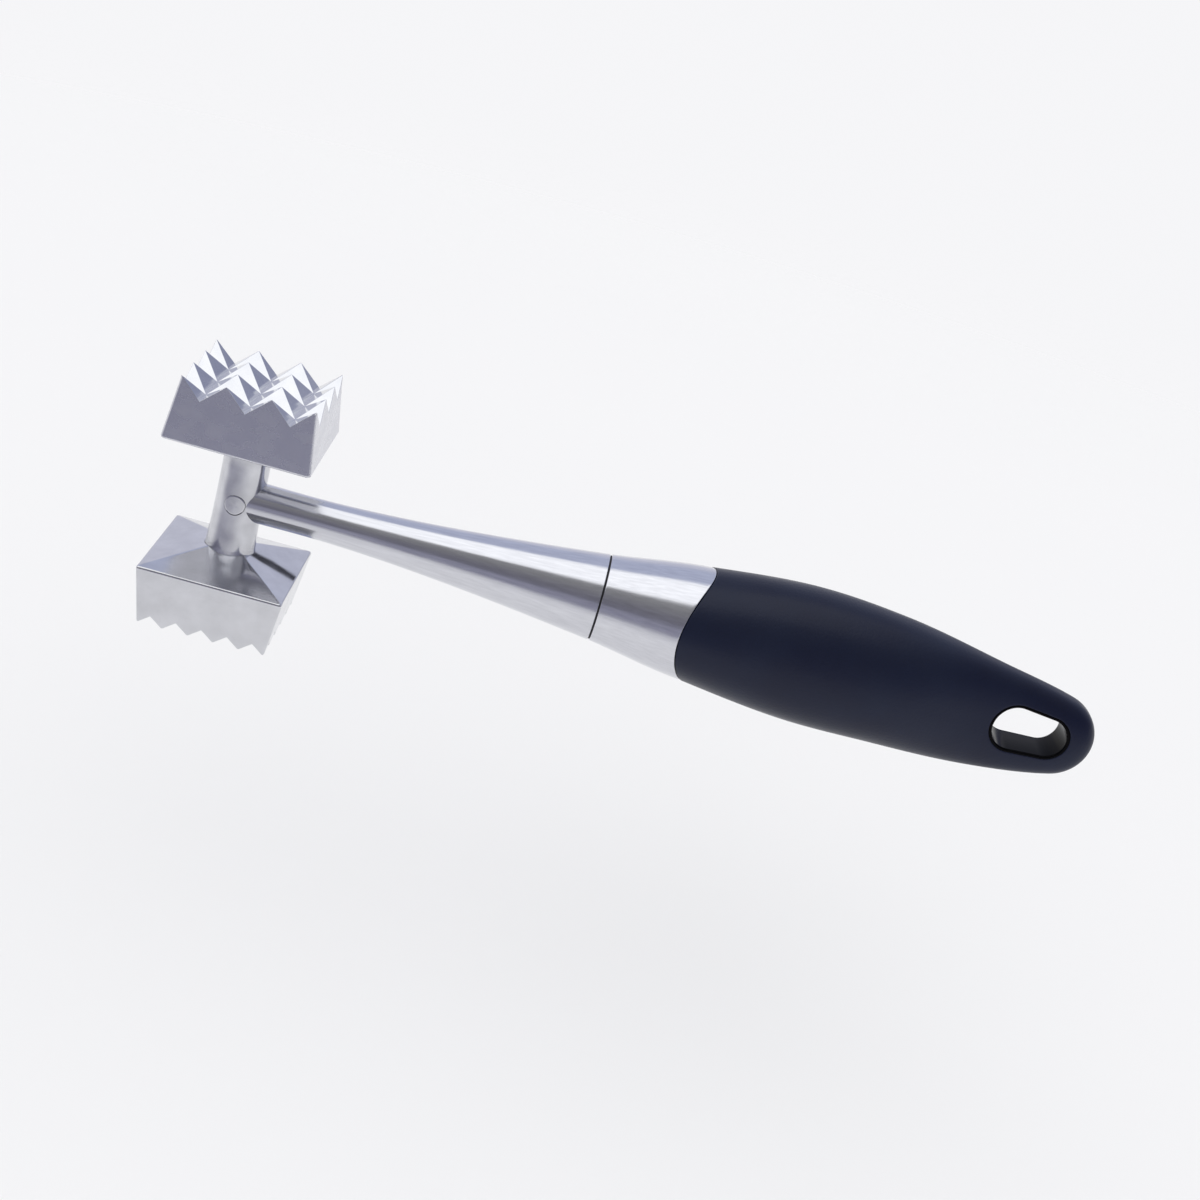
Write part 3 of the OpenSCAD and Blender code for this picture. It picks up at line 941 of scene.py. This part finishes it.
place(toothed_block("coarse_block_cast", 4, 10.5, 4.95, 0.09, 1.0, coarse_cast, True),
      "coarse_block", "cast_aluminium")
place(toothed_block("fine_block_cast", 6, 6.24, 2.6, 0.19, 0.6, fine_cast, False),
      "fine_block", "cast_aluminium")
place(turned_post(), "head_post", "cast_aluminium")
place(pin_piece(), "head_pin", "plain_steel")
place(shaft_piece(), "shaft_tube", "satin_metal")
place(seal_piece(), "seal_ring", "seal_rubber")
place(collar_piece(), "collar", "satin_metal")
place(grip_piece(), "grip_sleeve", "soft_grip")
place(liner_piece(), "slot_liner", "liner_plastic")

# The hidden pieces keep their CAD shapes
for node, material in (("tie_rod", plain_steel), ("handle_core", core_plastic),
                       ("rod_washer", plain_steel), ("rod_nut", plain_steel)):
    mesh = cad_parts[node].data
    mesh.materials.clear()
    mesh.materials.append(material)


# ---------------------------------------------------------------- floor, light and camera

def mixed_shader(nodes, links, share, first, second):
    """A mix of two shaders, by a value."""
    node = nodes.new("ShaderNodeMixShader")
    links.new(share, node.inputs[0])
    links.new(first, node.inputs[1])
    links.new(second, node.inputs[2])
    return node.outputs["Shader"]


def smooth_step(nodes, links, value, start, end):
    """0 at start, 1 at end, with a smooth change between."""
    node = nodes.new("ShaderNodeMapRange")
    node.interpolation_type = "SMOOTHSTEP"
    node.inputs["From Min"].default_value = start
    node.inputs["From Max"].default_value = end
    links.new(value, node.inputs["Value"])
    return node.outputs["Result"]


def multiplied(nodes, links, first, second):
    """The product of two values."""
    node = nodes.new("ShaderNodeMath")
    node.operation = "MULTIPLY"
    links.new(first, node.inputs[0])
    links.new(second, node.inputs[1])
    return node.outputs["Value"]


# Metres and linear colours. The stand is given as the way to its middle, and the way across it
PALE = (0.918, 0.918, 0.936)
DAYLIGHT = (1.05, 1.05, 1.05)
FLOOR_R = 1.2
STAND_AT = Vector((0.127, 0.901, 0.414)).normalized()
STAND_SIDE = Vector((-0.2652, 0.4337, -0.8612)).normalized()


def floor_piece():
    """A plain pale floor, well below the head. Its rim fades out, and in mirror images its front too."""
    sides, rings, drop = 96, 12, 0.06
    z = cad_box[0].z - drop
    points = [(0.0, 0.0, z)]
    for k in range(1, rings + 1):
        for a in np.arange(sides) * 2 * math.pi / sides:
            points.append((FLOOR_R * k / rings * math.cos(a), FLOOR_R * k / rings * math.sin(a), z))
    faces = [(0, 1 + i, 1 + (i + 1) % sides) for i in range(sides)]
    for k in range(rings - 1):
        inner, outer = 1 + k * sides, 1 + (k + 1) * sides
        faces += [(inner + i, outer + i, outer + (i + 1) % sides, inner + (i + 1) % sides)
                  for i in range(sides)]
    mesh = bpy.data.meshes.new("floor")
    mesh.from_pydata(points, [], faces)
    floor = bpy.data.objects.new("floor", mesh)
    bpy.context.scene.collection.objects.link(floor)
    material, nodes, links, shader = new_material("floor_pale", (0.885, 0.885, 0.9), 0.0, 0.9)
    clouds = stretched_noise(nodes, links, 2, detail=2)
    links.new(tint(nodes, links, clouds, (0.88, 0.88, 0.897), (0.89, 0.89, 0.906)),
              shader.inputs["Base Color"])
    coords = nodes.new("ShaderNodeTexCoord")
    length = nodes.new("ShaderNodeVectorMath")
    length.operation = "LENGTH"
    links.new(coords.outputs["Object"], length.inputs[0])
    far = smooth_step(nodes, links, length.outputs["Value"], 0.45 * FLOOR_R, 0.95 * FLOOR_R)
    # In what the metal mirrors, the floor dims away from a spot behind the grip
    away = nodes.new("ShaderNodeVectorMath")
    away.operation = "DISTANCE"
    away.inputs[1].default_value = (0.12, 0.15, z)
    links.new(coords.outputs["Object"], away.inputs[0])
    dim = smooth_step(nodes, links, away.outputs["Value"], 0.28, 0.62)
    path = nodes.new("ShaderNodeLightPath")
    dim = multiplied(nodes, links, dim, path.outputs["Is Glossy Ray"])
    clear = nodes.new("ShaderNodeBsdfTransparent").outputs["BSDF"]
    shown = mixed_shader(nodes, links, far, shader.outputs["BSDF"], clear)
    shown = mixed_shader(nodes, links, dim, shown, clear)
    links.new(shown, nodes["Material Output"].inputs["Surface"])
    mesh.materials.append(material)


def studio_world():
    """Even daylight, with what metal mirrors: a softbox overhead, a blue-grey back and a dim front."""
    world = bpy.data.worlds.new("studio")
    bpy.context.scene.world = world
    world.use_nodes = True
    nodes, links = world.node_tree.nodes, world.node_tree.links
    coords = nodes.new("ShaderNodeTexCoord")
    parts = nodes.new("ShaderNodeSeparateXYZ")
    links.new(coords.outputs["Generated"], parts.inputs["Vector"])
    east, north, up = parts.outputs["X"], parts.outputs["Y"], parts.outputs["Z"]

    def mixed(share, first, second):
        node = nodes.new("ShaderNodeMix")
        node.data_type = "RGBA"
        links.new(share, node.inputs[0])
        for socket, value in ((node.inputs[6], first), (node.inputs[7], second)):
            if isinstance(value, tuple):
                socket.default_value = (*value, 1)
            else:
                links.new(value, socket)
        return node.outputs[2]

    def step(value, start, end):
        return smooth_step(nodes, links, value, start, end)

    front = mixed(step(up, 0.2, 0.8), (0.168, 0.165, 0.205), (0.27, 0.27, 0.275))
    back = mixed(step(up, 0.28, 0.6), (0.69, 0.70, 0.81), (0.53, 0.57, 0.73))
    # A darker stretch of wall on the right, which the right sides of the teeth mirror
    wall = multiplied(nodes, links, step(east, 0.16, 0.26), step(up, 0.34, 0.26))
    back = mixed(wall, back, (0.30, 0.32, 0.45))
    around = mixed(step(north, -0.35, 0.3), front, back)
    low = mixed(step(north, -0.5, 0.1), (0.30, 0.30, 0.385), PALE)
    sky = mixed(step(up, 0.0, 0.18), low, around)

    def along(direction):
        node = nodes.new("ShaderNodeVectorMath")
        node.operation = "DOT_PRODUCT"
        node.inputs[1].default_value = direction
        links.new(coords.outputs["Generated"], node.inputs[0])
        return node.outputs["Value"]

    def size_of(value):
        node = nodes.new("ShaderNodeMath")
        node.operation = "ABSOLUTE"
        links.new(value, node.inputs[0])
        return node.outputs["Value"]

    # The softbox is a strip across the view, from overhead to a little in front, and ends on the right
    tilt = math.radians(9)
    across = size_of(along((0, math.cos(tilt), math.sin(tilt))))
    box = multiplied(nodes, links, step(across, 0.48, 0.38), step(up, 0.45, 0.6))
    box = multiplied(nodes, links, box, step(east, 0.4, 0.25))
    sky = mixed(box, sky, (1.36, 1.37, 1.38))
    # A thin dark light stand behind, which only the fine block's right facet mirrors
    stand = multiplied(nodes, links, step(size_of(along(STAND_SIDE)), 0.0018, 0.0012),
                       step(along(STAND_AT), math.cos(math.radians(5.0)), math.cos(math.radians(4.4))))
    sky = mixed(stand, sky, (0.04, 0.04, 0.05))
    path = nodes.new("ShaderNodeLightPath")
    seen = mixed(path.outputs["Is Glossy Ray"], DAYLIGHT, sky)
    links.new(mixed(path.outputs["Is Camera Ray"], seen, PALE), nodes["Background"].inputs["Color"])


LENS = 52.87
SENSOR = 36
EYE_FROM_HEAD = Vector((0.0661, -0.3946, 0.1668))
YAW, PITCH, ROLL = math.radians(-3.50), math.radians(90 - 22.97), math.radians(16.81)


def camera():
    """Looks down on the mallet from the front, rolled so that the handle runs down to the right."""
    data = bpy.data.cameras.new("camera")
    data.lens = LENS
    data.sensor_width = SENSOR
    data.clip_start, data.clip_end = 0.01, 50
    eye = bpy.data.objects.new("camera", data)
    turn = Matrix.Rotation(YAW, 4, "Z") @ Matrix.Rotation(PITCH, 4, "X") @ Matrix.Rotation(ROLL, 4, "Z")
    eye.matrix_world = Matrix.Translation(Vector((HEAD_X, 0, 0)) + EYE_FROM_HEAD) @ turn
    bpy.context.scene.collection.objects.link(eye)
    bpy.context.scene.camera = eye


floor_piece()
studio_world()
camera()
bpy.context.scene.view_settings.view_transform = "Standard"
